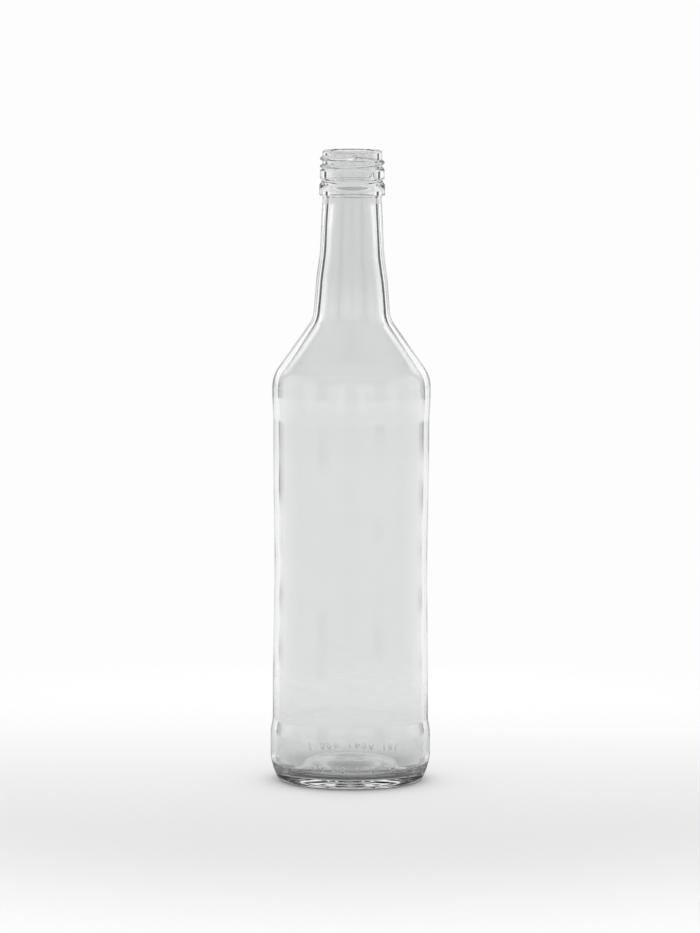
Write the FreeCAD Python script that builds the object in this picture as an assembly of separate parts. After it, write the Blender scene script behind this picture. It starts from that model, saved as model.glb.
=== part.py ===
"""A 750 ml wine bottle in clear glass, with the finish of a rolled-on screw cap.

Millimetres, +Z up. The origin is the centre of the bearing ring that the bottle stands on.
The glass is one closed section, outside and cavity, revolved about Z. The cavity's side is
the outside moved in by each stretch's own wall, as blown glass follows its mould.
"""

import FreeCAD, Part
import math
import os

# Overall
HEIGHT = 300.0
BODY_DIAMETER = 76.0  # over the heel's contact band, the widest ring of the bottle

# Base
HEEL_HEIGHT = 9.2  # where the heel's slope and the side's line cross
HEEL_ANGLE = 22.0  # between that slope and the bottle's axis, in degrees
HEEL_RADIUS = 28.0  # from the slope into the heel's contact band
FOOT_RADIUS = 4.0  # from the slope onto the bearing ring
BEARING_WIDTH = 2.0  # of the flat ring that touches the table
PUNT_HEIGHT = 7.8  # rise of the underside's centre
PUNT_SLOPE = 38.0  # of the punt's flank, in degrees from the table
PUNT_RADIUS = 34.0  # where the flank turns into the crown
PUNT_RIM_RADIUS = 2.0  # where the flank meets the bearing ring
CROWN_WALL = 4.1  # glass between the punt's crown and the cavity's floor
SEAT_WALL = 5.1  # glass over the bearing ring
FLOOR_RADIUS = 34.0  # of the cavity's floor over the punt's crown
FLOOR_RIM_RADIUS = 2.5  # where that dome meets the floor's lowest ring
FLOOR_CORNER_RADIUS = 6.5  # between the cavity's floor and its side

# Label panel, recessed between the contact bands so that a label doesn't scuff
PANEL_RECESS = 1.1  # each side, from the heel's contact band to the panel's two ends
PANEL_ENDS = 21.0  # height of the straight stretch at each end of the panel
WAIST_DEPTH = 0.7  # how much further in, each side, the panel's middle is
WAIST_RADIUS = 900.0  # where the panel draws in, at its middle and where it comes out
HEEL_BAND_TOP = 23.2  # height where the heel's contact band ends
HEEL_LEDGE = 6.2  # height of the slope from there into the panel
HEEL_LEDGE_RADIUS = 8.0  # where that slope meets the panel
SHOULDER_SET_IN = 0.55  # each side, from the heel's contact band to the shoulder's
SHOULDER_BAND = 9.5  # height of the shoulder's contact band, up to the cone's line
SHOULDER_LEDGE = 10.5  # height of the slope from the panel out to it
LEDGE_RADIUS = 32.0  # at the slopes' other ends

# Shoulder and neck
SHOULDER_ANGLE = 35.1  # between the cone and the bottle's axis, in degrees
SHOULDER_RADIUS = 16.5
ROOT_DIAMETER = 36.4  # where the cone's and the neck's lines cross
ROOT_RADIUS = 12.0
NECK_LENGTH = 57.7  # from that crossing up to the locking ring
NECK_SWELL_HEIGHT = 18.3  # from that crossing up to where the neck swells
NECK_SWELL_DIAMETER = 33.6
NECK_MIDDLE_DIAMETER = 30.1
NECK_STRAIGHT = 26.9  # height of the neck's upper stretch, which tapers least
NECK_TOP_DIAMETER = 27.9
NECK_RADIUS = 70.0  # between the neck's three stretches

# Wall, square to the surface
BODY_WALL = 2.85
SHOULDER_WALL = 2.6
NECK_WALL = 2.75

# Finish, from the locking ring's underside to the lip
FINISH_HEIGHT = 22.0
RING_DIAMETER = 31.0  # the locking ring, under which the cap's skirt is rolled
RING_UNDERCUT = 0.7  # height of its sloping underside
RING_BAND = 4.9  # height of its widest stretch
RING_SLOPE = 1.4  # height of its sloping top
GROOVE_DIAMETER = 29.0
GROOVE_HEIGHT = 0.8
BEAD_DIAMETER = 30.5  # the transfer bead, between the groove and the thread
BEAD_BAND = 3.8
BEAD_SLOPE = 0.8  # height of the slope on each side
LIP_DIAMETER = 28.2  # the cylinder that carries the cap's thread
LIP_RADIUS = 1.5
EDGE_RADIUS = 0.5  # of every edge between the neck and the lip

# Bore
MOUTH_DIAMETER = 23.8
MOUTH_RADIUS = 0.7  # of the lip's inner edge
CHOKE_DIAMETER = 21.6  # the tightest stretch, behind the locking ring
CHOKE_HEIGHT = 7.0
CHOKE_EASING = 4.5  # height over which the bore widens from there to the mouth
CHOKE_RADIUS = 9.0


def rounded(corners):
    """The edges of an open outline through (radius, height, fillet) corners.

    Straight runs are joined by tangent arcs. Two neighbouring fillets that need more than
    the run between them share it in proportion.
    """
    points = [FreeCAD.Vector(radius, 0, height) for radius, height, fillet in corners]
    runs = [end - start for start, end in zip(points, points[1:])]
    half_turns = [before.getAngle(after) / 2 for before, after in zip(runs, runs[1:])]
    wanted = [corner[2] * math.tan(half) for corner, half in zip(corners[1:], half_turns)]
    wanted = [0.0] + wanted + [0.0]
    share = [1.0] * len(points)
    for i, run in enumerate(runs):
        room = 0.99 * run.Length / max(wanted[i] + wanted[i + 1], run.Length)
        share[i] = min(share[i], room)
        share[i + 1] = min(share[i + 1], room)
    edges = []
    last = points[0]
    for i, half in enumerate(half_turns, start=1):
        reach = wanted[i] * share[i]
        backward = FreeCAD.Vector(runs[i - 1]).normalize() * -reach
        forward = FreeCAD.Vector(runs[i]).normalize() * reach
        inward = (backward + forward).normalize()
        depth = reach * (1 / math.sin(half) - 1 / math.tan(half))
        arc = Part.Arc(points[i] + backward, points[i] + inward * depth, points[i] + forward)
        edges.append(Part.LineSegment(last, points[i] + backward).toShape())
        edges.append(arc.toShape())
        last = points[i] + forward
    edges.append(Part.LineSegment(last, points[-1]).toShape())
    return edges


def lining(corners, walls):
    """The corners of a cavity that lies each run's own wall inside these corners.

    A cavity corner is where two moved runs cross, and its fillet shares the outer
    fillet's centre. The first and last corners only give their runs a direction.
    """
    points = [FreeCAD.Vector(radius, 0, height) for radius, height, fillet in corners]
    lines = []
    for start, end, wall in zip(points, points[1:], walls):
        along = (end - start).normalize()
        inward = FreeCAD.Vector(-along.z, 0, along.x)
        lines.append((start + inward * wall, along, inward))
    inner = []
    for i, (first, second) in enumerate(zip(lines, lines[1:]), start=1):
        start, along, _ = first
        other, across, normal = second
        point = start + along * ((other - start).dot(normal) / along.dot(normal))
        wall = (walls[i - 1] + walls[i]) / 2
        convex = along.cross(across).y < 0
        fillet = corners[i][2] - wall if convex else corners[i][2] + wall
        inner.append((point.x, point.z, fillet))
    return inner


def foot():
    """The radius at which the heel's slope, carried on, would reach the table."""
    return BODY_DIAMETER / 2 - HEEL_HEIGHT * math.tan(math.radians(HEEL_ANGLE))


def base_corners():
    """The underside, from the axis out to the bearing ring's inner edge."""
    slope = math.radians(PUNT_SLOPE)
    foot_reach = FOOT_RADIUS * math.tan(math.radians(90 - HEEL_ANGLE) / 2)
    rim = foot() - foot_reach - BEARING_WIDTH - PUNT_RIM_RADIUS * math.tan(slope / 2)
    crown = rim - PUNT_HEIGHT / math.tan(slope)
    return [(0, PUNT_HEIGHT, 0), (crown, PUNT_HEIGHT, PUNT_RADIUS), (rim, 0, PUNT_RIM_RADIUS)]


def side_corners():
    """The side from the table's level up to the locking ring: foot, panel, shoulder, neck."""
    heel = BODY_DIAMETER / 2
    panel = heel - PANEL_RECESS
    band = heel - SHOULDER_SET_IN
    ring_bottom = HEIGHT - FINISH_HEIGHT
    root = ring_bottom - NECK_LENGTH
    cone_height = (band - ROOT_DIAMETER / 2) / math.tan(math.radians(SHOULDER_ANGLE))
    shoulder = root - cone_height
    panel_bottom = HEEL_BAND_TOP + HEEL_LEDGE
    panel_top = shoulder - SHOULDER_BAND - SHOULDER_LEDGE
    return [
        (foot(), 0, FOOT_RADIUS),
        (heel, HEEL_HEIGHT, HEEL_RADIUS),
        (heel, HEEL_BAND_TOP, LEDGE_RADIUS),
        (panel, panel_bottom, HEEL_LEDGE_RADIUS),
        (panel, panel_bottom + PANEL_ENDS, WAIST_RADIUS),
        (panel - WAIST_DEPTH, (panel_bottom + panel_top) / 2, WAIST_RADIUS),
        (panel, panel_top - PANEL_ENDS, WAIST_RADIUS),
        (panel, panel_top, LEDGE_RADIUS),
        (band, panel_top + SHOULDER_LEDGE, LEDGE_RADIUS),
        (band, shoulder, SHOULDER_RADIUS),
        (ROOT_DIAMETER / 2, root, ROOT_RADIUS),
        (NECK_SWELL_DIAMETER / 2, root + NECK_SWELL_HEIGHT, NECK_RADIUS),
        (NECK_MIDDLE_DIAMETER / 2, ring_bottom - NECK_STRAIGHT, NECK_RADIUS),
        (NECK_TOP_DIAMETER / 2, ring_bottom, EDGE_RADIUS),
    ]


def finish_corners():
    """The finish above the neck: locking ring, groove, transfer bead, thread cylinder, lip."""
    steps = [
        (RING_DIAMETER, RING_UNDERCUT),
        (RING_DIAMETER, RING_BAND),
        (GROOVE_DIAMETER, RING_SLOPE),
        (GROOVE_DIAMETER, GROOVE_HEIGHT),
        (BEAD_DIAMETER, BEAD_SLOPE),
        (BEAD_DIAMETER, BEAD_BAND),
        (LIP_DIAMETER, BEAD_SLOPE),
    ]
    corners = []
    height = HEIGHT - FINISH_HEIGHT
    for diameter, rise in steps:
        height += rise
        corners.append((diameter / 2, height, EDGE_RADIUS))
    corners.append((LIP_DIAMETER / 2, HEIGHT, LIP_RADIUS))
    corners.append((MOUTH_DIAMETER / 2, HEIGHT, MOUTH_RADIUS))
    return corners


def bore_corners():
    """The bore from the lip down through the choke."""
    mouth = MOUTH_DIAMETER / 2
    choke = CHOKE_DIAMETER / 2
    choke_bottom = HEIGHT - FINISH_HEIGHT - CHOKE_HEIGHT / 2
    choke_top = choke_bottom + CHOKE_HEIGHT
    return [
        (mouth, choke_top + CHOKE_EASING, CHOKE_RADIUS),
        (choke, choke_top, CHOKE_RADIUS),
        (choke, choke_bottom, CHOKE_RADIUS),
    ]


def floor_corners():
    """The cavity's floor, from its side in to the axis: the lowest ring, then a dome."""
    side = BODY_DIAMETER / 2 - BODY_WALL
    floor_centre = PUNT_HEIGHT + CROWN_WALL
    crown = base_corners()[1][0]
    rim = side - FLOOR_CORNER_RADIUS
    return [
        (side, SEAT_WALL, FLOOR_CORNER_RADIUS),
        (rim, SEAT_WALL, FLOOR_RIM_RADIUS),
        (crown, floor_centre, FLOOR_RADIUS),
        (0, floor_centre, 0),
    ]


def bottle():
    """The whole section, outside up and cavity down, revolved about the bottle's axis."""
    side = side_corners()
    walls = [BODY_WALL] * 8 + [SHOULDER_WALL] + [NECK_WALL] * 3
    outside = base_corners() + side + finish_corners()
    inside = bore_corners() + lining(side[1:], walls)[::-1] + floor_corners()
    edges = rounded(outside + inside)
    axis = Part.LineSegment(edges[-1].lastVertex().Point, edges[0].firstVertex().Point)
    section = Part.Face(Part.Wire(edges + [axis.toShape()]))
    return section.revolve(FreeCAD.Vector(0, 0, 0), FreeCAD.Vector(0, 0, 1), 360)


os.makedirs("parts", exist_ok=True)
bottle().exportStep("parts/bottle.step")
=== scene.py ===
"""Looks of a clear 750 ml wine bottle: its glass, a pale studio and a camera.

The glass is one closed surface of revolution. Its section repeats the frame's: an outline
of straight runs joined by tangent arcs, outside from the punt to the lip and back down the
cavity. The thread, mould seams, numerals and stippling are relief on that surface. The world
shows the glass a studio by direction, and gives the table plain light.
"""

import math

import bpy
import numpy as np
from mathutils import Matrix, Vector


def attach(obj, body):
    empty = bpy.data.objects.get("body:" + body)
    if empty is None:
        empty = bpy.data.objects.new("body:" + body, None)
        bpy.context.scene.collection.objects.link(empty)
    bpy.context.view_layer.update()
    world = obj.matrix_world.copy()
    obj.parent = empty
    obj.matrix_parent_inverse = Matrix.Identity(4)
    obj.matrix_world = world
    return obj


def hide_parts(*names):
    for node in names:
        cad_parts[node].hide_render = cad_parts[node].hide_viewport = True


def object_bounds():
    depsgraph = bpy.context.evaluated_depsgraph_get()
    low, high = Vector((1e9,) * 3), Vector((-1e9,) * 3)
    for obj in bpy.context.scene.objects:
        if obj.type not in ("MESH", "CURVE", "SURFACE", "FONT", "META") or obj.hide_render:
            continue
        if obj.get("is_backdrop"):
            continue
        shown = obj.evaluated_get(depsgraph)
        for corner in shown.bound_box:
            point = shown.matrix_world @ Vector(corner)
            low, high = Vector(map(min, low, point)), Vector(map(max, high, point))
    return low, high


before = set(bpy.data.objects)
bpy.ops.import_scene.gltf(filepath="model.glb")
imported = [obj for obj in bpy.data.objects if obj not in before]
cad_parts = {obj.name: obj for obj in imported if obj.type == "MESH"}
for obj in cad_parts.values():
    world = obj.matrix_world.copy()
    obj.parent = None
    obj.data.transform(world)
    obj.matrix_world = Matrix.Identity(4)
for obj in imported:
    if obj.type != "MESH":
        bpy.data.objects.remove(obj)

bl_info = {
    "name": "Wine Bottle Looks",
    "version": (1, 0, 0),
    "blender": (4, 5, 0),
    "location": "3D View > Sidebar > Bottle",
    "description": "Makes the clear glass of a screw-finish wine bottle and a pale studio",
    "category": "Object",
}

NODE = "bottle"
BODY = "root"
GLASS_PIECE = "bottle_glass"
MM = 0.001

CAD_LOW, CAD_HIGH = (list(corner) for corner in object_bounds())
HEIGHT = CAD_HIGH[2]
BODY_RADIUS = round((CAD_HIGH[0] - CAD_LOW[0]) / 2, 4)
REACH = min(-CAD_LOW[0], CAD_HIGH[0], -CAD_LOW[1], CAD_HIGH[1])  # no relief stands out past it


def length(name, description, millimetres):
    """A length property. Its default is given in millimetres and kept in metres."""
    return bpy.props.FloatProperty(
        name=name, description=description, default=millimetres * MM, unit="LENGTH", precision=5
    )


def angle(name, description, degrees):
    """An angle property. Its default is given in degrees and kept in radians."""
    return bpy.props.FloatProperty(
        name=name, description=description, default=math.radians(degrees), subtype="ANGLE"
    )


def share(name, description, value, top=1.0):
    """A plain number between nought and top."""
    return bpy.props.FloatProperty(
        name=name, description=description, default=value, min=0.0, max=top
    )


def words(name, description, value):
    """A line of text."""
    return bpy.props.StringProperty(name=name, description=description, default=value)


def colour(name, description, value):
    """A linear colour."""
    return bpy.props.FloatVectorProperty(
        name=name, description=description, default=value, size=3, min=0.0, max=2.0,
        subtype="COLOR",
    )


class BaseSizes(bpy.types.PropertyGroup):
    """The heel, the bearing ring, the punt and the cavity's floor."""

    heel_height: length("Heel height", "Where the heel's slope and the side cross", 9.2)
    heel_slope: angle("Heel slope", "Between that slope and the bottle's axis", 22.0)
    heel_bend: length("Heel radius", "Arc from the side into the slope", 28.0)
    foot_bend: length("Foot radius", "Arc from the slope onto the bearing ring", 4.0)
    bearing: length("Bearing width", "Flat ring that touches the table", 2.0)
    punt: length("Punt height", "Rise of the underside's centre", 7.8)
    punt_slope: angle("Punt slope", "Slope of the punt's flank from the table", 38.0)
    punt_crown: length("Punt crown radius", "Arc from the flank to the crown", 34.0)
    punt_rim: length("Punt rim radius", "Arc from the bearing ring to the flank", 2.0)
    crown_wall: length("Crown wall", "Glass over the punt's crown", 4.1)
    seat_wall: length("Seat wall", "Glass over the bearing ring", 5.1)
    floor_crown: length("Floor crown radius", "Arc of the cavity's floor over the punt", 34.0)
    floor_rim: length("Floor rim radius", "Arc where the floor's dome meets its low ring", 2.5)
    floor_corner: length("Floor corner radius", "Arc between the floor and the side", 6.5)


class SideSizes(bpy.types.PropertyGroup):
    """The label panel, the shoulder, the neck and their walls."""

    panel_recess: length("Panel recess", "From the heel band in to the panel's ends", 1.1)
    panel_ends: length("Panel ends", "Straight stretch at each end of the panel", 21.0)
    waist: length("Waist", "How much further in the panel's middle is", 0.7)
    waist_bend: length("Waist radius", "Arcs of the waist", 900.0)
    heel_band: length("Heel band top", "Height where the heel's contact band ends", 23.2)
    heel_ledge: length("Heel ledge", "Height of the slope into the panel", 6.2)
    heel_ledge_bend: length("Heel ledge radius", "Where that slope meets the panel", 8.0)
    shoulder_in: length("Shoulder set-in", "From the heel band to the shoulder band", 0.55)
    shoulder_band: length("Shoulder band", "Height of the shoulder's contact band", 9.5)
    shoulder_ledge: length("Shoulder ledge", "Height of the slope out of the panel", 10.5)
    ledge_bend: length("Ledge radius", "Arcs at the slopes' other ends", 32.0)
    shoulder_cone: angle("Shoulder angle", "Between the cone and the bottle's axis", 35.1)
    shoulder_bend: length("Shoulder radius", "Arc over the shoulder's corner", 16.5)
    root_diameter: length("Root diameter", "Where the cone's and the neck's lines cross", 36.4)
    root_bend: length("Root radius", "Arc from the cone into the neck", 12.0)
    neck: length("Neck length", "From that crossing up to the locking ring", 57.7)
    neck_swell: length("Neck swell", "From that crossing up to the swell in the neck", 18.3)
    swell_diameter: length("Swell diameter", "Of the neck at the swell", 33.6)
    neck_straight: length("Neck straight", "Height of the neck's upper stretch", 26.9)
    neck_middle: length("Neck middle diameter", "At the foot of that stretch", 30.1)
    neck_bend: length("Neck radius", "Arcs between the neck's stretches", 70.0)
    neck_top: length("Neck top diameter", "Just under the locking ring", 27.9)
    body_wall: length("Body wall", "Glass along the body", 2.85)
    shoulder_wall: length("Shoulder wall", "Glass along the cone", 2.6)
    neck_wall: length("Neck wall", "Glass along the neck", 2.75)
    unevenness: length("Wall unevenness", "How far the cavity's side wanders", 0.08)


class FinishSizes(bpy.types.PropertyGroup):
    """The locking ring, the transfer bead, the thread, the lip and the bore."""

    height: length("Finish height", "From the locking ring's underside to the lip", 22.0)
    ring: length("Ring diameter", "Locking ring", 31.0)
    ring_undercut: length("Ring undercut", "Height of the ring's sloping underside", 0.7)
    ring_band: length("Ring band", "Height of the ring's widest stretch", 4.9)
    ring_slope: length("Ring slope", "Height of the ring's sloping top", 1.4)
    groove: length("Groove diameter", "Between ring and bead", 29.0)
    groove_height: length("Groove height", "Between ring and bead", 0.8)
    bead: length("Bead diameter", "Transfer bead", 30.5)
    bead_band: length("Bead band", "Height of the bead's widest stretch", 3.8)
    bead_slope: length("Bead slope", "Height of the slope on each side of the bead", 0.8)
    lip: length("Lip diameter", "Cylinder that carries the thread", 28.2)
    lip_bend: length("Lip radius", "Outer edge of the lip", 1.5)
    edge_bend: length("Edge radius", "Edges between the neck and the lip", 0.5)
    mouth: length("Mouth diameter", "Bore at the lip", 23.8)
    mouth_bend: length("Mouth radius", "Inner edge of the lip", 0.7)
    choke: length("Choke diameter", "The bore's tightest stretch", 21.6)
    choke_height: length("Choke height", "Height of that stretch", 7.0)
    choke_easing: length("Choke easing", "Height over which it widens to the mouth", 4.5)
    choke_bend: length("Choke radius", "Arcs at the choke's ends", 9.0)
    thread_crest: length("Thread crest diameter", "Over the thread", 30.6)
    thread_pitch: length("Thread pitch", "Rise of one turn", 3.63)
    thread_width: length("Thread width", "Of the ridge at its foot", 2.5)
    thread_drop: length("Thread drop", "From the lip down to the thread's start", 3.1)
    thread_turns: share("Thread turns", "Length of the thread in turns", 2.05, 6.0)
    thread_start: angle("Thread start", "Where the thread starts, about the axis", -80.0)


class ReliefSizes(bpy.types.PropertyGroup):
    """What the mould leaves on the outside: seams, numerals and the stippled ring."""

    seam_height: length("Seam height", "How far a mould seam stands out", 0.06)
    seam_width: length("Seam width", "Half-width of a mould seam", 0.25)
    plate_seam: length("Plate seam level", "Height of the bottom plate's seam", 6.2)
    numeral_level: length("Numeral level", "Height of the numerals' middle", 10.4)
    numeral_height: length("Numeral height", "Height of a numeral", 3.4)
    numeral_pitch: length("Numeral pitch", "From one numeral to the next", 3.6)
    numeral_relief: length("Numeral relief", "How far a numeral stands out", 0.5)
    numeral_stroke: length("Numeral stroke", "Half-width of a numeral's stroke", 0.36)
    front_numerals: words("Front numerals", "Plain mould numbers on the front", ".70 48 1 0 74")
    back_numerals: words("Back numerals", "Plain mould numbers on the back", "147 0841 480 7 ")
    stipple_depth: length("Stipple depth", "Depth of the grooves in the bearing ring", 0.22)
    stipple_pitch: length("Stipple pitch", "Spacing of those grooves", 1.6)


class GlassLook(bpy.types.PropertyGroup):
    """The glass's colour, in part painted shade over the base, its surface, and the shade it
    casts.
    """

    tint: colour("Tint", "Of one face along the body", (0.86, 0.865, 0.865))
    # Partly the thick base's own colour and partly painted shade: it darkens what is seen
    # through the base.
    heel_tint_and_shade: colour("Heel tint", "Of one face of the thick base", (0.71, 0.715, 0.715))
    heel_low: length("Heel tint's level", "Where the base has its whole colour", 2.0)
    heel_high: length("Heel tint's top", "Where the body's colour begins", 25.0)
    neck_tint: colour("Neck tint", "Of one face along the neck", (0.8, 0.805, 0.805))
    neck_low: length("Neck tint's foot", "Where the body's colour ends", 213.0)
    neck_high: length("Neck tint's level", "Where the neck has its whole colour", 245.0)
    ior: share("IOR", "Refractive index of soda-lime glass", 1.52, 3.0)
    ripple: length("Ripple", "Height of the fire-polished surface's faint ripple", 0.008)
    scuff: share("Scuffing", "Roughness of the scuffed specks on the heel band", 0.3)
    shade: share("Shade", "Light that one face lets through to the table", 0.97)
    shade_foot: share("Foot shade", "The same for one face of the thick foot", 0.28)
    shade_height: length("Shade height", "Level where the foot's shade has ended", 13.0)
    shade_inner: length("Shade start", "Radius where the foot's shade begins", 12.0)
    shade_outer: length("Shade whole", "Radius from which the foot's shade is whole", 30.0)


class StudioLook(bpy.types.PropertyGroup):
    """The floor, the light and the camera."""

    backdrop: share("Backdrop", "Brightness that is seen behind the bottle", 0.982)
    table: colour("Table", "Floor beside the bottle", (0.97, 0.97, 0.97))
    # Painted shade: the table's colour is darker towards the camera.
    table_near_shade: colour("Near table", "Floor towards the camera", (0.905, 0.905, 0.905))
    # Painted dark reflection: the table is darker where the glass's outside mirrors it.
    table_reflection_shade: colour("Table mirrored", "Floor as glass mirrors it", (0.3, 0.3, 0.3))
    fill: share("Fill", "Plain light from all round", 0.79, 4.0)
    behind: share("Behind", "Brightness straight behind, as glass shows it", 0.95, 4.0)
    beside: share("Beside", "Brightness of the soft boxes, to that behind", 1.32, 4.0)
    beside_low: share("Beside low", "The same under the soft boxes", 1.11, 4.0)
    beside_start: angle("Beside start", "From straight behind to the soft boxes", 5.5)
    beside_ease: angle("Beside ease", "Over which they reach their brightness", 12.0)
    strip: share("Strip", "What an upright strip adds to each soft box", 0.6)
    overhead: share("Overhead", "Brightness high up, to what is lower", 0.5)
    card: share("Card", "Brightness of the dark past the soft boxes", 0.05)
    card_start: angle("Card start", "From straight behind to where the dark begins", 34.0)
    card_ease: angle("Card ease", "Over which it begins", 5.0)
    high_dark: share("High dark", "Share of that darkness that is left overhead", 0.3)
    mirrored: share("Mirrored", "Brightness that the glass's outside reflects", 0.5, 4.0)
    mirrored_low: share("Mirrored low", "The same from near the table", 0.85, 4.0)
    key_power: share("Key power", "Power of each soft lamp, in watts", 1.0, 500.0)
    lamp_side: length("Lamp side", "From the bottle out to each lamp", 300.0)
    lamp_back: length("Lamp back", "From the bottle back to each lamp", 600.0)
    lamp_height: length("Lamp height", "Of each lamp's middle", 450.0)
    lamp_width: length("Lamp width", "Of each lamp", 500.0)
    lamp_length: length("Lamp length", "Of each lamp", 500.0)
    table_radius: length("Table radius", "Of the round table", 1200.0)
    blend_start: length("Blend start", "Where the table starts to thin out", 160.0)
    blend_end: length("Blend end", "Where it has gone", 420.0)
    near_start: length("Near start", "Where the near table's colour is whole", -130.0)
    near_end: length("Near end", "Where it has run out", 145.0)
    camera_distance: length("Camera distance", "From the bottle's axis, level", 2391.0)
    camera_height: length("Camera height", "Above the table", 403.0)
    aim_height: length("Aim height", "Level of the view's middle on the axis", 149.9)
    aim_side: length("Aim side", "How far right of the axis the view's middle is", -0.57)
    lens: share("Lens", "Focal length in millimetres, for the sensor SENSOR", 195.5, 500.0)
    roll: angle("Roll", "Lean of the camera", 0.2)


ARC_STEP = math.radians(7.0)  # along every arc of the section
PLAIN_ROWS = 4 * MM  # spacing of rows along the body and the cavity
HEEL_ROWS = 0.35 * MM
NUMERAL_ROWS = 0.18 * MM
FINISH_ROWS = 0.24 * MM
COLUMNS = 136  # around the bottle, a multiple of 4, without those beside the seams
SEAM_STEPS = (-0.0155, -0.0065, 0.0065, 0.0155)  # extra columns beside a seam, in radians
FINE = 4  # columns for each plain one on the heel
FINEST = 8  # and where the numerals are

BODY_RUNS = 8  # of the side, from the heel up to the cone, that have the body's wall
NECK_RUNS = 3  # above the cone, with the neck's
TINY = 1e-9
FAR = 10.0  # in numeral heights, where the search for the nearest stroke starts
STROKE_EDGE = 1.2  # where a stroke's relief ends, in half-widths from its middle
RIDGE_POWER = 0.9  # of the half cosine across the thread, which makes it a little fuller
THREAD_ENDS = 16  # the thread rises and runs out over one part in this of a turn
STIPPLED_HEIGHT = 1.2 * MM  # up to which rows are cut finest for the stippled ring
GROOVE_REACH = 1.1  # bearing widths from the ring's middle over which a groove runs out
GROOVE_EDGE = 1.5  # where it has ended, in that reach, and in millimetres up
# The waves of the cavity's side: share of the whole, waves round, waves up, and phase.
WAVES = ((0.45, 1, 0.9, 0.6), (0.30, 2, -1.3, 2.1), (0.25, 3, 2.3, 4.0))
WAVE_RISE = 60 * MM  # height of one wave up
WANDER_FOOT = 14 * MM  # height under which there are none
WANDER_FADE = (25 * MM, 12 * MM)  # over which they grow, and die out under the choke

RIPPLE_WAVES = 55  # to the metre, as for the two below
PATCH_WAVES = 160
SPECK_WAVES = 1400
PATCH_START = (0.5, 0.62)  # noise between which a patch of scuffing comes in
SPECK_START = (0.66, 0.74)  # and a speck inside it
SCUFF_FOOT = (13 * MM, 16 * MM)  # heights between which the scuffing begins
SCUFF_TOP = 20 * MM  # and from which it fades to the heel band's top

# The studio that glass shows, by direction. A rise is how far a direction of length one
# goes up, and an edge is given by two cosines of the turn from the nearest level axis.
BOX_FOOT = (-0.085, -0.06)  # rises between which the soft boxes reach their brightness
STRIP_NEAR = tuple(math.cos(math.radians(turn)) for turn in (11, 6))  # the strip's near edge
STRIP_FAR = tuple(math.cos(math.radians(turn)) for turn in (26, 20))  # its other edge
STRIP_FOOT = (-0.025, 0.01)  # rises between which the strip begins
STRIP_TOP = (0.06, 0.1)  # and ends
OVERHEAD = (0.3, 0.5)  # rises between which the studio grows dimmer
CARD_FOOT = (-0.14, -0.085)  # rises between which the dark past the soft boxes begins
CARD_TOP = (0.5, 0.75)  # and thins out
MIRROR_FOOT = (-0.115, -0.09)  # rises between which the outside's reflections grow dimmer
ONE_WALL = 2.5  # transmission depth: two faces for one wall, more once across the cavity

TABLE_RINGS = 24
TABLE_COLUMNS = 96
SENSOR = 36  # millimetres across
VIEW_DEPTH = 20  # metres

FRONT = math.radians(-90)
BACK = math.radians(90)
SEAMS = (0.0, math.pi)

# A numeral's strokes in a box one unit high, centred: from, to, and the radius of the ring
# round that line, nought for the line itself.
STROKES = {
    "0": [((0, -0.22), (0, 0.22), 0.26)],
    "1": [((0.05, -0.5), (0.05, 0.5), 0), ((0.05, 0.5), (-0.15, 0.32), 0)],
    "4": [
        ((0.12, -0.5), (0.12, 0.5), 0),
        ((0.12, 0.5), (-0.3, -0.18), 0),
        ((-0.3, -0.18), (0.3, -0.18), 0),
    ],
    "7": [((-0.27, 0.5), (0.27, 0.5), 0), ((0.27, 0.5), (-0.08, -0.5), 0)],
    "8": [((0, 0.26), (0, 0.26), 0.22), ((0, -0.24), (0, -0.24), 0.26)],
    ".": [((0, -0.05), (0, 0.05), 0)],
}


def rounded(corners):
    """Points and outward normals along an outline of straight runs joined by tangent arcs.

    A corner is (radius, height, fillet, spacing of rows up to it). A run is divided evenly.
    On an arc the direction turns evenly from one run's to the next's, and the point is the
    arc's centre plus the fillet times the direction's right-hand normal. Returns rows of
    (radius, height, normal's radius, normal's height).
    """
    points = np.array([corner[:2] for corner in corners], dtype=float)
    fillets = np.array([corner[2] for corner in corners], dtype=float)
    runs = np.diff(points, axis=0)
    lengths = np.hypot(runs[:, 0], runs[:, 1])
    along = runs / lengths[:, None]
    cross = along[:-1, 0] * along[1:, 1] - along[:-1, 1] * along[1:, 0]
    turns = np.arctan2(cross, np.sum(along[:-1] * along[1:], axis=1))
    reach = np.zeros(len(points))
    reach[1:-1] = fillets[1:-1] * np.tan(np.abs(turns) / 2)
    room = np.minimum(1.0, 0.99 * lengths / (reach[:-1] + reach[1:]))
    reach[1:-1] *= np.minimum(room[:-1], room[1:])
    rows = []
    last = points[0]
    for i, turn in enumerate(turns, start=1):
        spacing = corners[i][3]
        enter = points[i] - along[i - 1] * reach[i]
        rows.append(straight(last, enter, along[i - 1], spacing))
        radius = math.copysign(reach[i] / math.tan(abs(turn) / 2), turn)
        steps = max(2, math.ceil(max(abs(turn) / ARC_STEP, turn * radius / spacing)))
        angles = turn * np.arange(steps) / steps
        normal = np.stack([
            along[i - 1, 1] * np.cos(angles) + along[i - 1, 0] * np.sin(angles),
            along[i - 1, 1] * np.sin(angles) - along[i - 1, 0] * np.cos(angles),
        ], axis=1)
        rows.append(np.hstack([enter + radius * (normal - normal[0]), normal]))
        last = points[i] + along[i] * reach[i]
    rows.append(straight(last, points[-1], along[-1], corners[-1][3]))
    rows.append(np.array([[*points[-1], along[-1, 1], -along[-1, 0]]]))
    return np.vstack(rows)


def straight(start, end, along, spacing):
    """Rows along one run, from its start up to but without its end, evenly spaced."""
    steps = max(1, math.ceil(np.hypot(*(end - start)) / spacing))
    share_along = np.arange(steps)[:, None] / steps
    normal = np.tile([along[1], -along[0]], (steps, 1))
    return np.hstack([start + (end - start) * share_along, normal])


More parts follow.
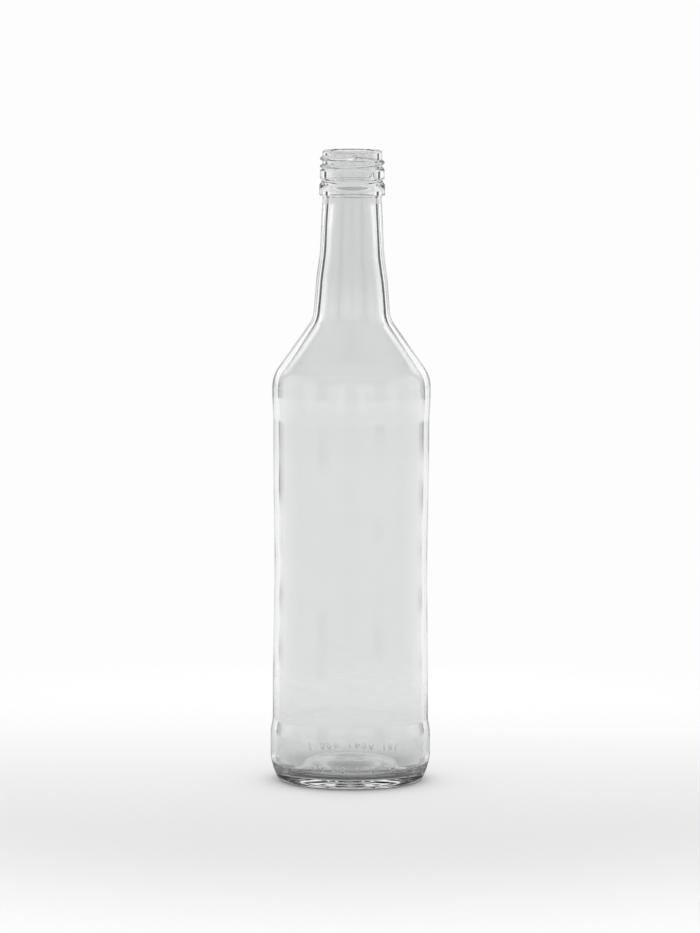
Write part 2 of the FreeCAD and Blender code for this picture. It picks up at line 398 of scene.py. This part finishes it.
def lining(corners, walls):
    """The corners of a cavity that lies each run's own wall inside these corners.

    A cavity corner is where two moved runs cross, and its fillet shares the outer one's
    centre: less the wall where the outline bulges, more where it is hollow.
    """
    points = np.array([corner[:2] for corner in corners], dtype=float)
    along = np.diff(points, axis=0)
    along /= np.hypot(along[:, 0], along[:, 1])[:, None]
    inward = np.stack([-along[:, 1], along[:, 0]], axis=1)
    starts = points[:-1] + inward * np.array(walls)[:, None]
    inner = []
    for i in range(1, len(along)):
        gap = np.dot(starts[i] - starts[i - 1], inward[i])
        place = starts[i - 1] + along[i - 1] * gap / np.dot(along[i - 1], inward[i])
        bulge = math.copysign(1.0, np.dot(along[i], inward[i - 1]))
        fillet = corners[i][2] - bulge * (walls[i - 1] + walls[i]) / 2
        inner.append((place[0], place[1], fillet, corners[i][3]))
    return inner


def foot_corner(base):
    """Where the heel's slope would reach the table."""
    return BODY_RADIUS - base.heel_height * math.tan(base.heel_slope)


def bearing_radius(base):
    """The middle of the flat bearing ring, inside the foot's arc."""
    arc = base.foot_bend * math.tan((math.pi / 2 - base.heel_slope) / 2)
    return foot_corner(base) - arc - base.bearing / 2


def base_corners(base):
    """The underside, from the axis out to the bearing ring's inner edge."""
    inner_edge = bearing_radius(base) - base.bearing / 2
    rim = inner_edge - base.punt_rim * math.tan(base.punt_slope / 2)
    crown = rim - base.punt / math.tan(base.punt_slope)
    return [
        (0, base.punt, 0, PLAIN_ROWS),
        (crown, base.punt, base.punt_crown, PLAIN_ROWS),
        (rim, 0, base.punt_rim, HEEL_ROWS * 2),
    ]


def side_corners(base, side, finish):
    """The side from the table's level up to the locking ring: heel, panel, shoulder, neck."""
    panel = BODY_RADIUS - side.panel_recess
    band = BODY_RADIUS - side.shoulder_in
    ring = HEIGHT - finish.height
    root = ring - side.neck
    shoulder = root - (band - side.root_diameter / 2) / math.tan(side.shoulder_cone)
    panel_low = side.heel_band + side.heel_ledge
    panel_high = shoulder - side.shoulder_band - side.shoulder_ledge
    return [
        (foot_corner(base), 0, base.foot_bend, HEEL_ROWS),
        (BODY_RADIUS, base.heel_height, base.heel_bend, NUMERAL_ROWS),
        (BODY_RADIUS, side.heel_band, side.ledge_bend, PLAIN_ROWS),
        (panel, panel_low, side.heel_ledge_bend, PLAIN_ROWS),
        (panel, panel_low + side.panel_ends, side.waist_bend, PLAIN_ROWS),
        (panel - side.waist, (panel_low + panel_high) / 2, side.waist_bend, PLAIN_ROWS),
        (panel, panel_high - side.panel_ends, side.waist_bend, PLAIN_ROWS),
        (panel, panel_high, side.ledge_bend, PLAIN_ROWS),
        (band, panel_high + side.shoulder_ledge, side.ledge_bend, PLAIN_ROWS),
        (band, shoulder, side.shoulder_bend, PLAIN_ROWS),
        (side.root_diameter / 2, root, side.root_bend, PLAIN_ROWS),
        (side.swell_diameter / 2, root + side.neck_swell, side.neck_bend, PLAIN_ROWS),
        (side.neck_middle / 2, ring - side.neck_straight, side.neck_bend, PLAIN_ROWS),
        (side.neck_top / 2, ring, finish.edge_bend, PLAIN_ROWS),
    ]


def finish_corners(finish):
    """The finish above the neck: locking ring, groove, transfer bead, thread, lip."""
    steps = [
        (finish.ring, finish.ring_undercut),
        (finish.ring, finish.ring_band),
        (finish.groove, finish.ring_slope),
        (finish.groove, finish.groove_height),
        (finish.bead, finish.bead_slope),
        (finish.bead, finish.bead_band),
        (finish.lip, finish.bead_slope),
    ]
    height = HEIGHT - finish.height
    corners = []
    for diameter, rise in steps:
        height += rise
        corners.append((diameter / 2, height, finish.edge_bend, PLAIN_ROWS))
    corners.append((finish.lip / 2, HEIGHT, finish.lip_bend, FINISH_ROWS))
    corners.append((finish.mouth / 2, HEIGHT, finish.mouth_bend, PLAIN_ROWS))
    return corners


def bore_corners(finish):
    """The bore, from the lip down through the choke."""
    low = HEIGHT - finish.height - finish.choke_height / 2
    high = low + finish.choke_height
    return [
        (finish.mouth / 2, high + finish.choke_easing, finish.choke_bend, PLAIN_ROWS),
        (finish.choke / 2, high, finish.choke_bend, PLAIN_ROWS),
        (finish.choke / 2, low, finish.choke_bend, PLAIN_ROWS),
    ]


def floor_corners(base, side):
    """The cavity's floor, from its side in to the axis: the low ring, then the dome."""
    wall = BODY_RADIUS - side.body_wall
    crown = base_corners(base)[1][0]
    top = base.punt + base.crown_wall
    return [
        (wall, base.seat_wall, base.floor_corner, PLAIN_ROWS),
        (wall - base.floor_corner, base.seat_wall, base.floor_rim, PLAIN_ROWS),
        (crown, top, base.floor_crown, PLAIN_ROWS),
        (0, top, 0, PLAIN_ROWS),
    ]


def section(base, side, finish):
    """The whole section's rows, and how many of them belong to the outside."""
    outer = side_corners(base, side, finish)
    walls = [side.body_wall] * BODY_RUNS + [side.shoulder_wall] + [side.neck_wall] * NECK_RUNS
    lined = lining(outer[1:], walls)[::-1]
    outside = base_corners(base) + outer + finish_corners(finish)
    inside = bore_corners(finish) + lined + floor_corners(base, side)
    rows = rounded(outside + inside)
    return rows, int(np.argmax(rows[:, 1])) + 1


def smooth(value):
    """Eases from nought to one as value goes from nought to one."""
    value = np.clip(value, 0.0, 1.0)
    return value * value * (3 - 2 * value)


def turned(theta, centre):
    """The angle from centre to theta, between minus and plus half a turn."""
    return (theta - centre + math.pi) % (2 * math.pi) - math.pi


def thread_relief(theta, radius, height, finish):
    """The cap's thread: a rounded ridge whose middle falls one pitch a turn.

    A point's drop under the start, in pitches, less the turns already travelled there is
    how far it lies from the ridge's middle. The ridge is a half cosine across, and it
    rises and runs out over a sixteenth of a turn at its ends. Where it meets the bead it
    stands out only as far as its own crest.
    """
    drop = (HEIGHT - finish.thread_drop - height) / finish.thread_pitch
    part_turn = (finish.thread_start - theta) / (2 * math.pi) % 1.0
    travelled = part_turn + np.round(drop - part_turn)
    across = (drop - travelled) * finish.thread_pitch / (finish.thread_width / 2)
    across = np.clip(across, -1, 1)
    ends = smooth(travelled * THREAD_ENDS)
    ends = ends * smooth((finish.thread_turns - travelled) * THREAD_ENDS)
    shape = np.maximum(np.cos(across * math.pi / 2), 0) ** RIDGE_POWER * ends
    crest = finish.lip / 2 + shape * (finish.thread_crest - finish.lip) / 2
    return np.where(shape > 0, np.maximum(crest - radius, 0), 0)


def numeral_relief(theta, height, text, centre, relief):
    """A row of raised numerals round the heel, centred on an angle.

    Each stroke is a line, or the ring that lies its radius from a line. The relief falls
    smoothly from the stroke's middle to its edge.
    """
    across = turned(theta, centre) * BODY_RADIUS
    up = (height - relief.numeral_level) / relief.numeral_height
    nearest = np.full(theta.shape, FAR)
    for place, sign in enumerate(text):
        middle = (place - (len(text) - 1) / 2) * relief.numeral_pitch
        side = (across - middle) / relief.numeral_height
        for start, end, ring in STROKES.get(sign, []):
            run = (end[0] - start[0], end[1] - start[1])
            size = run[0] ** 2 + run[1] ** 2
            part = ((side - start[0]) * run[0] + (up - start[1]) * run[1]) / max(size, TINY)
            part = np.clip(part, 0, 1)
            gap = np.hypot(side - start[0] - run[0] * part, up - start[1] - run[1] * part)
            nearest = np.minimum(nearest, np.abs(gap - ring))
    return relief.numeral_relief * smooth(
        STROKE_EDGE - nearest * relief.numeral_height / relief.numeral_stroke
    )


def seam_relief(theta, radius, height, finish, relief):
    """The mould's two upright seams and the level seam over its bottom plate."""
    upright = np.zeros(theta.shape)
    for seam in SEAMS:
        across = turned(theta, seam) * radius / relief.seam_width
        upright = np.maximum(upright, np.exp(-(across ** 2)))
    upright *= smooth((height - relief.plate_seam) / MM)
    upright *= smooth((HEIGHT - finish.height - height) / MM)
    level = np.exp(-((height - relief.plate_seam) / relief.seam_width) ** 2)
    return relief.seam_height * np.maximum(upright, level)


def stipple_relief(theta, radius, height, base, relief):
    """Short grooves across the bearing ring, cut upwards, evenly spaced round it."""
    ring = bearing_radius(base)
    count = round(2 * math.pi * ring / relief.stipple_pitch)
    groove = (0.5 + 0.5 * np.cos(count * theta)) ** 2
    groove *= smooth(GROOVE_EDGE - np.abs(radius - ring) / (base.bearing * GROOVE_REACH))
    return -relief.stipple_depth * groove * smooth(GROOVE_EDGE - height / MM)


def wander(theta, height, side, finish):
    """How far the cavity's side strays from its section, as blown glass does.

    A sum of slow waves round and up the wall, which dies out at the floor and the choke.
    """
    turns_up = height / WAVE_RISE * 2 * math.pi
    waves = np.zeros(theta.shape)
    for part, round_it, up_it, phase in WAVES:
        waves += part * np.cos(round_it * theta + up_it * turns_up + phase)
    choke = HEIGHT - finish.height - finish.choke_height / 2
    grow, die_out = WANDER_FADE
    fade = smooth((height - WANDER_FOOT) / grow) * smooth((choke - height) / die_out)
    return side.unevenness * waves * fade


def around(factor):
    """Angles of a ring's columns: even, closer beside the seams, each gap cut factor times."""
    even = np.arange(COLUMNS) * 2 * math.pi / COLUMNS
    beside = np.array([seam + step for seam in SEAMS for step in SEAM_STEPS]) % (2 * math.pi)
    base = np.sort(np.concatenate([even, beside]))
    gaps = np.diff(np.append(base, 2 * math.pi))
    return (base[:, None] + gaps[:, None] * np.arange(factor) / factor).ravel()


def strip(low, high):
    """Faces between two rings of vertices, facing right of the way from low to high.

    Even rings give quads. Where one ring has more vertices, each of the other's gaps gets a
    fan to either end and one triangle on the gap itself. A ring of one vertex is a pole.
    """
    if len(low) == 1 or len(high) == 1:
        ring = high if len(low) == 1 else low
        following = np.roll(ring, -1)
        pole = np.full(len(ring), low[0] if len(low) == 1 else high[0])
        order = (pole, following, ring) if len(low) == 1 else (ring, following, pole)
        return np.stack(order, axis=1).tolist()
    if len(low) == len(high):
        quads = np.stack([low, np.roll(low, -1), np.roll(high, -1), high], axis=1)
        return quads.tolist()
    few, many = (low, high) if len(low) < len(high) else (high, low)
    times = len(many) // len(few)
    fans = many.reshape(len(few), times)
    fans = np.hstack([fans, np.roll(fans[:, :1], -1, axis=0)])
    ends = np.stack([few, np.roll(few, -1)], axis=1)
    half = times // 2
    hubs = np.repeat(ends, [half, times - half], axis=1)
    triangles = np.stack([hubs, fans[:, 1:], fans[:, :-1]], axis=2).reshape(-1, 3)
    middle = np.stack([ends[:, 0], ends[:, 1], fans[:, half]], axis=1)
    triangles = np.vstack([triangles, middle])
    if few is high:
        triangles = triangles[:, ::-1]
    return triangles.tolist()


def relief_of(theta, radius, height, outside, sizes):
    """How far the glass stands out from its section at each point."""
    base, side, finish, relief = sizes
    raised = thread_relief(theta, radius, height, finish)
    raised += numeral_relief(theta, height, relief.front_numerals, FRONT, relief)
    raised += numeral_relief(theta, height, relief.back_numerals, BACK, relief)
    raised += seam_relief(theta, radius, height, finish, relief)
    raised = np.minimum(raised, np.maximum(REACH - radius, 0))
    raised += stipple_relief(theta, radius, height, base, relief)
    return np.where(outside, raised, wander(theta, height, side, finish))


def column_factors(rows, outside_rows, base, relief):
    """How finely each row is cut round: finest at the numerals and the bearing ring."""
    radius, height = rows[:, 0], rows[:, 1]
    outer = np.arange(len(rows)) < outside_rows
    reach = relief.numeral_height / 2 + relief.numeral_stroke * STROKE_EDGE
    numerals = np.abs(height - relief.numeral_level) < reach
    ring = bearing_radius(base) - base.bearing
    bearing = (height < STIPPLED_HEIGHT) & (radius > ring)
    heel = (height < relief.numeral_level) & (radius > ring)
    factors = np.ones(len(rows), dtype=int)
    factors[outer & heel] = FINE
    factors[outer & (numerals & (radius > ring) | bearing)] = FINEST
    return factors


def glass_mesh(sizes):
    """The bottle's one closed surface.

    A point is the section's point, moved along the section's normal by the relief, and
    turned about the axis. Its normal is the section's, less the relief's slope along the
    section and round the axis.
    """
    base, side, finish, relief = sizes
    rows, outside_rows = section(base, side, finish)
    factors = column_factors(rows, outside_rows, base, relief)
    columns = {factor: around(factor) for factor in (1, FINE, FINEST)}
    pole = rows[:, 0] < TINY
    theta = [np.zeros(1) if pole[i] else columns[factors[i]] for i in range(len(rows))]
    counts = [len(angles) for angles in theta]
    row = np.repeat(np.arange(len(rows)), counts)
    theta = np.concatenate(theta)
    radius, height, normal_r, normal_z = rows[row].T
    outside = row < outside_rows
    raised = relief_of(theta, radius, height, outside, sizes)
    step = 0.05 * MM
    safe = np.maximum(radius, step)
    up, turn = [], []
    for move in (step, -step):
        moved = radius - move * normal_z, height + move * normal_r
        up.append(relief_of(theta, *moved, outside, sizes))
        turn.append(relief_of(theta + move / safe, radius, height, outside, sizes))
    slope_up = (up[0] - up[1]) / (2 * step)
    slope_round = (turn[0] - turn[1]) / (2 * step)
    for values in (raised, slope_up, slope_round):
        values[pole[row]] = 0
    out_r = normal_r + slope_up * normal_z
    out_z = normal_z - slope_up * normal_r
    cos, sin = np.cos(theta), np.sin(theta)
    reach = np.minimum(radius + raised * normal_r, REACH)
    points = np.stack([reach * cos, reach * sin, height + raised * normal_z], axis=1)
    normals = np.stack(
        [out_r * cos + slope_round * sin, out_r * sin - slope_round * cos, out_z], axis=1
    )
    normals /= np.linalg.norm(normals, axis=1)[:, None]
    starts = np.concatenate([[0], np.cumsum(counts)])
    rings = [np.arange(starts[i], starts[i + 1]) for i in range(len(rows))]
    faces = []
    for low, high in zip(rings[:-1], rings[1:]):
        faces.extend(strip(low, high))
    mesh = bpy.data.meshes.new(GLASS_PIECE)
    mesh.from_pydata(points, [], faces)
    mesh.shade_smooth()
    mesh.normals_split_custom_set_from_vertices(normals)
    return mesh


def feed(tree, sockets, values):
    """Give each socket its value: a number, a colour, or another node's output."""
    for socket, value in zip(sockets, values):
        if isinstance(value, bpy.types.NodeSocket):
            tree.links.new(value, socket)
        else:
            socket.default_value = value


def node(tree, kind, **values):
    """A new node with its settings, which have small letters, and what its inputs get."""
    made = tree.nodes.new(kind)
    for name, value in values.items():
        if name.islower():
            setattr(made, name, value)
        else:
            feed(tree, [made.inputs[name.replace("_", " ")]], [value])
    return made


def blank_tree(holder, output):
    """The emptied node tree of a new material or world, and its output's surface."""
    holder.use_nodes = True
    tree = holder.node_tree
    tree.nodes.clear()
    return tree, node(tree, output).inputs["Surface"]


def calculate(tree, operation, *values):
    """A Math node's result."""
    made = node(tree, "ShaderNodeMath", operation=operation)
    feed(tree, made.inputs, values)
    return made.outputs[0]


def between(tree, value, low, high, start, end, kind="SMOOTHSTEP"):
    """A Map Range node's result: from low to high as value goes from start to end."""
    made = node(tree, "ShaderNodeMapRange", interpolation_type=kind)
    feed(tree, made.inputs, (value, start, end, low, high))
    return made.outputs[0]


def choose(tree, which, first, second, kind="FLOAT"):
    """The first value where which is nought and the second where it is one."""
    mix = node(tree, "ShaderNodeMix", data_type=kind, Factor=which, A=first, B=second)
    return mix.outputs["Result"]


def mix_shaders(tree, which, first, second, surface):
    """Show the first shader where which is nought and the second where it is one."""
    mix = node(tree, "ShaderNodeMixShader")
    feed(tree, mix.inputs, (which, first, second))
    tree.links.new(mix.outputs[0], surface)


def parts(tree, vector):
    """A vector's X, Y and Z."""
    return node(tree, "ShaderNodeSeparateXYZ", Vector=vector).outputs


def vector_size(tree, vector):
    """A vector's length."""
    made = node(tree, "ShaderNodeVectorMath", operation="LENGTH", Vector=vector)
    return made.outputs["Value"]


def lighting_rays(tree):
    """One for rays that look for light on a matt surface's behalf, nought for all others."""
    path = node(tree, "ShaderNodeLightPath").outputs
    return calculate(tree, "MAXIMUM", path["Is Shadow Ray"], path["Is Diffuse Ray"])


def noise(tree, coordinates, scale, detail):
    """A Noise Texture node's value, scale in waves to the metre."""
    made = node(tree, "ShaderNodeTexNoise", Vector=coordinates, Scale=scale, Detail=detail)
    return made.outputs["Fac"]


def scuffing(tree, place, height, look, side):
    """Roughness of the specks, in patches on the heel's contact band."""
    foot = between(tree, height, 0, 1, *SCUFF_FOOT)
    top = between(tree, height, 1, 0, SCUFF_TOP, side.heel_band)
    patches = between(tree, noise(tree, place, PATCH_WAVES, 2.0), 0, 1, *PATCH_START)
    specks = between(tree, noise(tree, place, SPECK_WAVES, 3.0), 0, look.scuff, *SPECK_START)
    band = calculate(tree, "MULTIPLY", foot, top)
    return calculate(tree, "MULTIPLY", calculate(tree, "MULTIPLY", band, patches), specks)


def glass_shade(tree, place, height, look):
    """Light that one face lets through: least low down and far from the axis, at the foot."""
    level = node(tree, "ShaderNodeVectorMath", operation="MULTIPLY")
    feed(tree, level.inputs, (place, (1, 1, 0)))
    out = vector_size(tree, level.outputs[0])
    low = between(tree, height, 1, 0, 0, look.shade_height)
    wide = between(tree, out, 0, 1, look.shade_inner, look.shade_outer)
    foot = calculate(tree, "MULTIPLY", low, wide)
    return choose(tree, foot, look.shade, look.shade_foot)


def glass_material(look, side):
    """Clear soda-lime glass: fire-polished, faintly rippled, scuffed where bottles touch.

    All of it reads Object coordinates. Height gives the colour of base, body and neck, and the
    base's darker colour is partly painted shade. Noise gives the ripple, through a Bump node,
    and the specks of scuffing. Light on its way to the table goes straight through, with a
    little lost at each face and more in the foot.
    """
    material = bpy.data.materials.new("clear_glass")
    tree, surface = blank_tree(material, "ShaderNodeOutputMaterial")
    place = node(tree, "ShaderNodeTexCoord").outputs["Object"]
    height = parts(tree, place)["Z"]
    base_ends = between(tree, height, 0, 1, look.heel_low, look.heel_high)
    neck_starts = between(tree, height, 0, 1, look.neck_low, look.neck_high)
    # Painted shade in part: the base's tint is darker than the body's.
    tint = choose(tree, base_ends, (*look.heel_tint_and_shade, 1), (*look.tint, 1), "RGBA")
    tint = choose(tree, neck_starts, tint, (*look.neck_tint, 1), "RGBA")
    waves = noise(tree, place, RIPPLE_WAVES, 1.0)
    bump = node(tree, "ShaderNodeBump", Strength=1.0, Distance=look.ripple, Height=waves)
    scuffs = scuffing(tree, place, height, look, side)
    glass = node(
        tree, "ShaderNodeBsdfPrincipled", Base_Color=tint, Transmission_Weight=1.0,
        IOR=look.ior, Roughness=scuffs, Normal=bump.outputs[0],
    )
    shade = glass_shade(tree, place, height, look)
    clear = node(tree, "ShaderNodeBsdfTransparent", Color=shade)
    mix_shaders(tree, lighting_rays(tree), glass.outputs[0], clear.outputs[0], surface)
    return material


class MakeGlass(bpy.types.Operator):
    """Make the bottle's glass in place of the frame's plain solid"""

    bl_idname = "object.wine_bottle_glass"
    bl_label = "Bottle Glass"

    def execute(self, context):
        scene = context.scene
        groups = (BaseSizes, SideSizes, FinishSizes, ReliefSizes)
        sizes = [getattr(scene, GROUPS[group]) for group in groups]
        glass = bpy.data.objects.new(GLASS_PIECE, glass_mesh(sizes))
        scene.collection.objects.link(glass)
        glass.data.materials.append(glass_material(scene.bottle_glass, scene.bottle_side))
        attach(glass, BODY)
        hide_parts(NODE)
        return {"FINISHED"}


def studio_seen_in_glass(tree, direction, plain, look):
    """The strength of the studio's light, by direction, as glass shows it.

    All of it repeats each quarter turn, so every side of the bottle looks alike. Straight
    behind is a pale backdrop. On both sides of it stand brighter soft boxes, dimmer under
    BOX_FOOT, each with an upright strip that is brighter still. High up all of it dims. Past
    the soft boxes it is dark, less so overhead, and not at all where plain is one.
    """
    across, along, rise = parts(tree, direction)
    across = calculate(tree, "ABSOLUTE", across)
    along = calculate(tree, "ABSOLUTE", along)
    axis = calculate(tree, "MAXIMUM", across, along)
    inner = math.cos(look.beside_start)
    outer = math.cos(look.beside_start + look.beside_ease)
    aside = between(tree, axis, 1, 0, outer, inner)
    level = between(tree, rise, look.beside_low - 1, look.beside - 1, *BOX_FOOT)
    boxes = calculate(tree, "MULTIPLY", aside, level)
    strip = between(tree, axis, look.strip, 0, *STRIP_NEAR)
    for limit in (
        between(tree, axis, 0, 1, *STRIP_FAR),
        between(tree, rise, 0, 1, *STRIP_FOOT),
        between(tree, rise, 1, 0, *STRIP_TOP),
    ):
        strip = calculate(tree, "MULTIPLY", strip, limit)
    boxes = calculate(tree, "ADD", boxes, strip)
    lit = calculate(tree, "MULTIPLY_ADD", boxes, look.behind, look.behind)
    lit = calculate(tree, "MULTIPLY", lit, between(tree, rise, 1, look.overhead, *OVERHEAD))
    begin = math.cos(look.card_start)
    full = math.cos(look.card_start + look.card_ease)
    dark = between(tree, axis, 1 - look.card, 0, full, begin)
    for limit in (
        between(tree, rise, 0, 1, *CARD_FOOT),
        between(tree, rise, 1, look.high_dark, *CARD_TOP),
        calculate(tree, "SUBTRACT", 1.0, plain),
    ):
        dark = calculate(tree, "MULTIPLY", dark, limit)
    return calculate(tree, "MULTIPLY", lit, calculate(tree, "SUBTRACT", 1.0, dark))


def studio_world(look):
    """The world: plain light all round, a white backdrop, and the studio that glass shows.

    Light Path picks one: the backdrop where the camera looks past everything, the studio
    for rays that come out of the glass, a level that only depends on the rise for those
    that its outside reflects, and the plain light for the rest. A ray that has been across
    the cavity doesn't meet the studio's dark.
    """
    world = bpy.data.worlds.new("studio")
    tree, surface = blank_tree(world, "ShaderNodeOutputWorld")
    path = node(tree, "ShaderNodeLightPath").outputs
    direction = node(tree, "ShaderNodeTexCoord").outputs["Generated"]
    crossed = calculate(tree, "GREATER_THAN", path["Transmission Depth"], ONE_WALL)
    seen = studio_seen_in_glass(tree, direction, crossed, look)
    rise = parts(tree, direction)["Z"]
    reflected = between(tree, rise, look.mirrored_low, look.mirrored, *MIRROR_FOOT)
    strength = choose(tree, path["Is Glossy Ray"], look.fill, reflected)
    strength = choose(tree, path["Is Transmission Ray"], strength, seen)
    strength = choose(tree, path["Is Camera Ray"], strength, look.backdrop)
    light = node(tree, "ShaderNodeBackground", Color=(1, 1, 1, 1), Strength=strength)
    tree.links.new(light.outputs[0], surface)
    return world


def floor_material(look):
    """A matt table near the bottle that thins out, by distance, into the studio behind.

    The table's colour falls off towards the camera's side, which is painted shade, and it is
    darker, as a painted dark reflection, for rays that the glass's outside mirrors. Both blends
    read Object coordinates. Light that falls on the table meets all of it, also where it has
    thinned out.
    """
    material = bpy.data.materials.new("table")
    tree, surface = blank_tree(material, "ShaderNodeOutputMaterial")
    place = node(tree, "ShaderNodeTexCoord").outputs["Object"]
    along = parts(tree, place)["Y"]
    # Painted shade: the table's colour darkens towards the camera's side.
    near = between(tree, along, 1, 0, look.near_start, look.near_end, "LINEAR")
    shade = choose(tree, near, (*look.table, 1), (*look.table_near_shade, 1), "RGBA")
    # Painted dark reflection: rays that the glass's outside mirrors see a darker table.
    path = node(tree, "ShaderNodeLightPath").outputs
    mirrored = calculate(
        tree, "GREATER_THAN", path["Is Glossy Ray"], path["Is Transmission Ray"]
    )
    shade = choose(tree, mirrored, shade, (*look.table_reflection_shade, 1), "RGBA")
    matt = node(tree, "ShaderNodeBsdfDiffuse", Color=shade)
    far = between(tree, vector_size(tree, place), 0, 1, look.blend_start, look.blend_end)
    looked_at = calculate(tree, "SUBTRACT", 1.0, lighting_rays(tree))
    thin = calculate(tree, "MULTIPLY", far, looked_at)
    clear = node(tree, "ShaderNodeBsdfTransparent")
    mix_shaders(tree, thin, matt.outputs[0], clear.outputs[0], surface)
    return material


def disc_mesh(name, radius, rings, columns):
    """A flat disc at the table's level: rings of points at even steps out from its centre."""
    theta = np.arange(columns) * 2 * math.pi / columns
    reach = np.linspace(0, radius, rings + 1)[1:]
    x = (reach[:, None] * np.cos(theta)).ravel()
    y = (reach[:, None] * np.sin(theta)).ravel()
    points = np.vstack([[0, 0, 0], np.stack([x, y, np.zeros(len(x))], axis=1)])
    index = 1 + np.arange(rings * columns).reshape(rings, columns)
    faces = strip(index[0], np.zeros(1, dtype=int))
    for inner, outer in zip(index[:-1], index[1:]):
        faces.extend(strip(outer, inner))
    mesh = bpy.data.meshes.new(name)
    mesh.from_pydata(points, [], faces)
    return mesh


def soft_lamp(name, side, look):
    """A rectangular lamp behind the bottle, on one side. It doesn't show in or on the glass."""
    data = bpy.data.lights.new(name, "AREA")
    data.shape = "RECTANGLE"
    data.size = look.lamp_width
    data.size_y = look.lamp_length
    data.energy = look.key_power
    lamp = bpy.data.objects.new(name, data)
    lamp.location = (side * look.lamp_side, look.lamp_back, look.lamp_height)
    towards = Vector((0, 0, HEIGHT / 2)) - lamp.location
    lamp.rotation_euler = towards.to_track_quat("-Z", "Y").to_euler()
    lamp.visible_transmission = False
    lamp.visible_glossy = False
    return lamp


def studio_camera(look):
    """The camera, in front of the bottle and above it, aimed at a level on its axis."""
    data = bpy.data.cameras.new("camera")
    data.lens = look.lens
    data.sensor_width = SENSOR
    data.clip_end = VIEW_DEPTH
    data.dof.use_dof = False
    camera = bpy.data.objects.new("camera", data)
    place = Vector((look.aim_side, -look.camera_distance, look.camera_height))
    aim = Vector((look.aim_side, 0, look.aim_height))
    turn = (aim - place).to_track_quat("-Z", "Y").to_matrix().to_4x4()
    camera.matrix_world = Matrix.Translation(place) @ turn @ Matrix.Rotation(look.roll, 4, "Z")
    return camera


class MakeStudio(bpy.types.Operator):
    """Make the table, the light all round, two soft lamps and the camera"""

    bl_idname = "scene.wine_bottle_studio"
    bl_label = "Pale Studio"

    def execute(self, context):
        scene = context.scene
        look = scene.bottle_studio
        disc = disc_mesh("table", look.table_radius, TABLE_RINGS, TABLE_COLUMNS)
        table = bpy.data.objects.new("table", disc)
        table.data.materials.append(floor_material(look))
        scene.collection.objects.link(table)
        table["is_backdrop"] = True
        scene.world = studio_world(look)
        for name, side in (("left_lamp", -1), ("right_lamp", 1)):
            scene.collection.objects.link(soft_lamp(name, side, look))
        camera = studio_camera(look)
        scene.collection.objects.link(camera)
        scene.camera = camera
        scene.view_settings.view_transform = "Standard"
        scene.cycles.max_bounces = 24
        scene.cycles.transmission_bounces = 20
        scene.cycles.glossy_bounces = 12
        return {"FINISHED"}


class BottlePanel(bpy.types.Panel):
    """Lists the bottle's sizes and the operators that make it"""

    bl_idname = "VIEW3D_PT_wine_bottle"
    bl_label = "Wine Bottle"
    bl_space_type = "VIEW_3D"
    bl_region_type = "UI"
    bl_category = "Bottle"

    def draw(self, context):
        layout = self.layout
        for group in GROUPS:
            box = layout.box()
            box.label(text=group.__doc__)
            settings = getattr(context.scene, GROUPS[group])
            for name in group.__annotations__:
                box.prop(settings, name)
        layout.operator(MakeGlass.bl_idname)
        layout.operator(MakeStudio.bl_idname)


GROUPS = {
    BaseSizes: "bottle_base",
    SideSizes: "bottle_side",
    FinishSizes: "bottle_finish",
    ReliefSizes: "bottle_relief",
    GlassLook: "bottle_glass",
    StudioLook: "bottle_studio",
}
CLASSES = (*GROUPS, MakeGlass, MakeStudio, BottlePanel)


def register():
    """Register the classes and hang the property groups on the scene."""
    for one in CLASSES:
        bpy.utils.register_class(one)
    for group, name in GROUPS.items():
        setattr(bpy.types.Scene, name, bpy.props.PointerProperty(type=group))


def unregister():
    """Undo register, last class first."""
    for name in GROUPS.values():
        delattr(bpy.types.Scene, name)
    for one in reversed(CLASSES):
        bpy.utils.unregister_class(one)


def main():
    """Make everything in order."""
    register()
    bpy.ops.object.wine_bottle_glass()
    bpy.ops.scene.wine_bottle_studio()


if __name__ == "__main__":
    main()
